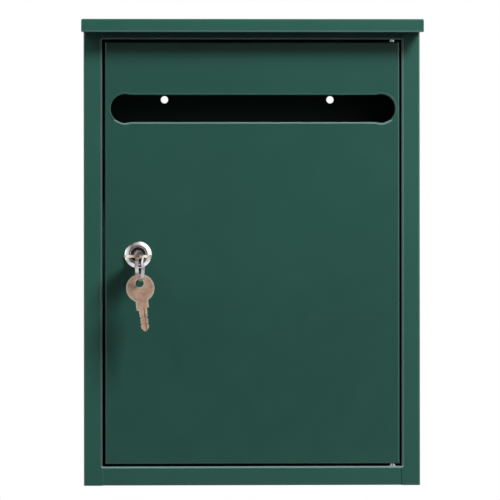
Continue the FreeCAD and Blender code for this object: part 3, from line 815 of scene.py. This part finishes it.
class POSTBOX_OT_sheet_metal(bpy.types.Operator):
    """Paint the folded sheet of the cabinet, lid and door, and round its edges"""

    bl_idname = "postbox.sheet_metal"
    bl_label = "Paint Sheet Metal"

    def execute(self, context):
        paint = context.scene.postbox_paint
        door_paint = paint_material("door_paint", paint, paint.colour, 1.0, paint.roughness)
        # Painted highlight: the edge paint and its lighter lip and rail copies stand in for the light
        # that rounded edges catch
        edge_highlight_paint = paint_material("edge_highlight_paint", paint, paint.edge_highlight_colour, 1.0, paint.roughness)
        lip_highlight_paint = paint_material("lip_highlight_paint", paint, paint.edge_highlight_colour, LIP_HIGHLIGHT_TONE, paint.roughness)
        rail_highlight_paint = paint_material("rail_highlight_paint", paint, paint.edge_highlight_colour, RAIL_HIGHLIGHT_TONE, paint.roughness)
        dress_node("door", door_paint)
        # Painted light: the cabinet's paint is the door's colour made lighter by the cabinet tone
        cabinet_paint = paint_material(
            "cabinet_paint",
            paint,
            paint.colour,
            paint.cabinet_painted_light,
            paint.cabinet_roughness,
        )
        for name in CABINET_NODES:
            dress_node(name, cabinet_paint)
        front = frame_front()
        low = cad_box[0]
        high = cad_box[1]
        slot_edge = finish_piece(slot_rim(front), "slot_rim", "door", door_paint)
        # Painted highlight: the slot's lower lip takes the lighter lip paint
        highlight_runs(slot_edge, SLOT_MIDDLE - SLOT_RUN_SHARE * SLOT_HALF_HEIGHT, high.z, lip_highlight_paint)
        bend = opening_rim(front)
        # Painted highlight: the frame's bend takes the edge paint, its bottom and top runs the lighter
        # rail paint
        frame_edge = finish_piece(bend, "opening_rim", "cabinet", edge_highlight_paint)
        bottom_run = low.z + BOTTOM_RAIL + RUN_MARGIN
        top_run = high.z - TOP_RAIL - RUN_MARGIN
        highlight_runs(frame_edge, bottom_run, top_run, rail_highlight_paint)
        # The lid's lower edge: a rounded bead in the lighter edge paint, a painted highlight
        lid_place = (0.0, front - LID_OVERHANG, high.z - LID_FLANGE + LID_EDGE_RISE)
        lid_edge = straight_edge(lid_place, high.x - LID_EDGE_INSET, "X", LID_EDGE_WIDE, LID_EDGE_TALL)
        finish_piece(lid_edge, "lid_edge", "cabinet", edge_highlight_paint)
        seam_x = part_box("cabinet_shell")[0].x + STILE_WIDTH + SEAM_ASIDE
        seam_place = (seam_x, front, low.z + SEAM_MIDDLE)
        weld = straight_edge(seam_place, SEAM_HALF, "Z", SEAM_WIDE, SEAM_TALL)
        finish_piece(weld, "seam_weld", "cabinet", cabinet_paint)
        return {"FINISHED"}


class POSTBOX_OT_fittings(bpy.types.Operator):
    """Plate the hinge pins, washers, nut, cam and screw"""

    bl_idname = "postbox.fittings"
    bl_label = "Plate Fittings"

    def execute(self, context):
        metals = context.scene.postbox_metals
        zinc = plated_material("zinc_plate", metals.zinc, PLATE_ROUGHNESS)
        for name in ZINC_NODES:
            dress_node(name, zinc)
        return {"FINISHED"}


class POSTBOX_OT_lock(bpy.types.Operator):
    """Chrome the lock's body and finish its plug and wafers"""

    bl_idname = "postbox.lock"
    bl_label = "Finish Lock"

    def execute(self, context):
        metals = context.scene.postbox_metals
        chrome = plated_material("lock_chrome", metals.chrome, CHROME_ROUGHNESS)
        dress_node("lock_body", chrome)
        place = joint_place("lock_turn")
        middle = (place[0], frame_front(), place[2])
        finish_piece(bezel_crown(middle), "bezel_crown", "door", chrome)
        dress_node("lock_plug", plug_material("plug_plate", metals.plug, middle))
        rim_colour = scaled(metals.chrome, PLUG_RIM_TONE)
        rim = plated_material("plug_rim_plate", rim_colour, PLATE_ROUGHNESS)
        finish_piece(plug_rim(middle), "plug_rim", "plug", rim)
        dress_node("lock_wafers", plated_material("wafer_brass", metals.brass, PLATE_ROUGHNESS))
        return {"FINISHED"}


class POSTBOX_OT_keys(bpy.types.Operator):
    """Finish both keys and the split ring"""

    bl_idname = "postbox.keys"
    bl_label = "Finish Keys"

    def execute(self, context):
        metals = context.scene.postbox_metals
        held = key_material("key_in_lock_metal", metals, key_hole_in_lock(), HELD_TURN)
        dress_node("key_in_lock", held)
        spare_hole = joint_place("spare_key_swing")
        dress_node("spare_key", key_material("spare_key_metal", metals, spare_hole, SPARE_TURN))
        dress_node("key_ring", plated_material("ring_nickel", metals.nickel, RING_ROUGHNESS))
        return {"FINISHED"}


def soft_lamp(name, place, width, height, power):
    """A rectangular soft lamp; mirrors and sheen see the soft walls in its place."""
    data = bpy.data.lights.new(name, "AREA")
    data.shape = "RECTANGLE"
    data.size = width
    data.size_y = height
    data.energy = power
    lamp = bpy.data.objects.new(name, data)
    bpy.context.collection.objects.link(lamp)
    lamp.visible_glossy = False
    lamp.location = place
    lamp.rotation_euler = (Vector(LAMP_AIM) - Vector(place)).to_track_quat("-Z", "Y").to_euler()


def soft_wall(tree, looking, direction, inner_deg, outer_deg, strength):
    """A soft patch of the room about a direction, which only mirrors and sheen see."""
    along = tree.nodes.new("ShaderNodeVectorMath")
    along.operation = "DOT_PRODUCT"
    tree.links.new(looking, along.inputs[0])
    along.inputs[1].default_value = Vector(direction).normalized()
    fade = tree.nodes.new("ShaderNodeMapRange")
    fade.interpolation_type = "SMOOTHSTEP"
    fade.inputs["From Min"].default_value = math.cos(math.radians(outer_deg))
    fade.inputs["From Max"].default_value = math.cos(math.radians(inner_deg))
    fade.inputs["To Max"].default_value = strength
    tree.links.new(along.outputs["Value"], fade.inputs["Value"])
    return fade.outputs["Result"]


class POSTBOX_OT_stage(bpy.types.Operator):
    """Set the floor, the soft lamps, the world and the camera"""

    bl_idname = "postbox.stage"
    bl_label = "Set Stage"

    def execute(self, context):
        studio = context.scene.postbox_studio
        self.build_world(context.scene, studio)
        self.build_floor(studio)
        self.build_lamps(studio)
        self.build_camera(context.scene, studio)
        context.scene.view_settings.view_transform = "Standard"
        return {"FINISHED"}

    def build_world(self, scene, studio):
        """White to the eye; in mirrors dim behind the camera, bright beside the box, then dimmer."""
        world = bpy.data.worlds.new("studio")
        scene.world = world
        world.use_nodes = True
        tree = world.node_tree
        place = tree.nodes.new("ShaderNodeTexCoord")
        split = tree.nodes.new("ShaderNodeSeparateXYZ")
        tree.links.new(place.outputs["Generated"], split.inputs["Vector"])
        share = joined(tree, "MULTIPLY_ADD", split.outputs["Y"], 0.5)
        share.node.inputs[2].default_value = 0.5
        stops = [(spot, grey(brightness)) for spot, brightness in MIRRORED_ROOM]
        mirrored = ramp_between(tree, share, stops).outputs["Color"]
        for direction, inner, outer, strength in SOFT_WALLS:
            wall = soft_wall(tree, place.outputs["Generated"], direction, inner, outer, strength)
            mirrored = joined(tree, "ADD", mirrored, wall)
        mirrored = joined(tree, "MAXIMUM", mirrored, MIRRORED_LEAST)
        front = grey(studio.front_level)
        stops = ((0.0, front), (0.47, front), (0.66, grey(studio.room_level)))
        around = ramp_between(tree, share, stops).outputs["Color"]
        light_path = tree.nodes.new("ShaderNodeLightPath")
        level = tree.nodes.new("ShaderNodeMix")
        tree.links.new(light_path.outputs["Is Glossy Ray"], level.inputs["Factor"])
        tree.links.new(around, level.inputs["A"])
        tree.links.new(mirrored, level.inputs["B"])
        camera_ray = light_path.outputs["Is Camera Ray"]
        seen = joined(tree, "MAXIMUM", camera_ray, light_path.outputs["Is Transmission Ray"])
        final = joined(tree, "MAXIMUM", level.outputs["Result"], seen)
        background = tree.nodes["Background"]
        background.inputs["Color"].default_value = (1.0, 1.0, 1.0, 1.0)
        tree.links.new(final, background.inputs["Strength"])

    def build_floor(self, studio):
        """A pale floor under the hung box that keeps its shadow and throws little light back up."""
        drop = cad_box[0].z - studio.floor_drop
        shape = bmesh.new()
        bmesh.ops.create_grid(shape, x_segments=1, y_segments=1, size=studio.floor_half)
        bmesh.ops.translate(shape, verts=shape.verts, vec=(0.0, 0.0, drop))
        mesh = bpy.data.meshes.new("floor")
        shape.to_mesh(mesh)
        shape.free()
        floor = bpy.data.objects.new("floor", mesh)
        bpy.context.collection.objects.link(floor)
        material, tree, shader = new_material("pale_floor")
        shader.inputs["Roughness"].default_value = FLOOR_ROUGHNESS
        light_path = tree.nodes.new("ShaderNodeLightPath")
        camera_ray = light_path.outputs["Is Camera Ray"]
        seen = joined(tree, "MAXIMUM", camera_ray, light_path.outputs["Is Glossy Ray"])
        seen = joined(tree, "MAXIMUM", seen, light_path.outputs["Is Transmission Ray"])
        tone = ramp_between(tree, seen, ((0.0, grey(FLOOR_BOUNCE)), (1.0, grey(FLOOR_SEEN))))
        tree.links.new(tone.outputs["Color"], shader.inputs["Base Color"])
        shader.inputs["Emission Color"].default_value = (1.0, 1.0, 1.0, 1.0)
        glow = joined(tree, "MULTIPLY", seen, FLOOR_GLOW)
        tree.links.new(glow, shader.inputs["Emission Strength"])
        mesh.materials.append(material)

    def build_lamps(self, studio):
        """A main lamp from the upper right, and a weak one from the upper left."""
        soft_lamp("main_lamp", *MAIN_LAMP, studio.lamp_power)
        soft_lamp("left_lamp", *LEFT_LAMP, studio.left_power)

    def build_camera(self, scene, studio):
        """The camera looks a little from the left, and its shift takes part of that offset."""
        data = bpy.data.cameras.new("camera")
        data.sensor_width = SENSOR_WIDTH
        data.lens = data.sensor_width * studio.distance / studio.frame_width
        camera = bpy.data.objects.new("camera", data)
        bpy.context.collection.objects.link(camera)
        front = frame_front()
        camera.location = (studio.camera_side, front - studio.distance, studio.camera_height)
        offset = studio.picture_middle - studio.camera_side
        shifted = offset * studio.shift_share
        turn = math.atan2(offset - shifted, studio.distance)
        camera.rotation_euler = (math.radians(90.0), studio.roll, -turn)
        data.shift_x = shifted / studio.frame_width
        scene.camera = camera


class POSTBOX_PT_sidebar(bpy.types.Panel):
    """The post box's pieces, in the order that they are made"""

    bl_idname = "POSTBOX_PT_sidebar"
    bl_label = "Post Box"
    bl_space_type = "VIEW_3D"
    bl_region_type = "UI"
    bl_category = "Post Box"

    def draw(self, context):
        layout = self.layout
        scene = context.scene
        for group in (scene.postbox_paint, scene.postbox_metals, scene.postbox_studio):
            column = layout.column()
            for name in group.__annotations__:
                column.prop(group, name)
        for operator in OPERATORS:
            layout.operator(operator.bl_idname)


OPERATORS = (
    POSTBOX_OT_sheet_metal,
    POSTBOX_OT_fittings,
    POSTBOX_OT_lock,
    POSTBOX_OT_keys,
    POSTBOX_OT_stage,
)
CLASSES = (PostBoxPaint, PostBoxMetals, PostBoxStudio) + OPERATORS + (POSTBOX_PT_sidebar,)


def register():
    for cls in CLASSES:
        bpy.utils.register_class(cls)
    bpy.types.Scene.postbox_paint = PointerProperty(type=PostBoxPaint)
    bpy.types.Scene.postbox_metals = PointerProperty(type=PostBoxMetals)
    bpy.types.Scene.postbox_studio = PointerProperty(type=PostBoxStudio)


def unregister():
    del bpy.types.Scene.postbox_studio
    del bpy.types.Scene.postbox_metals
    del bpy.types.Scene.postbox_paint
    for cls in reversed(CLASSES):
        bpy.utils.unregister_class(cls)


def main():
    register()
    bpy.ops.postbox.sheet_metal()
    bpy.ops.postbox.fittings()
    bpy.ops.postbox.lock()
    bpy.ops.postbox.keys()
    bpy.ops.postbox.stage()


if __name__ == "__main__":
    main()
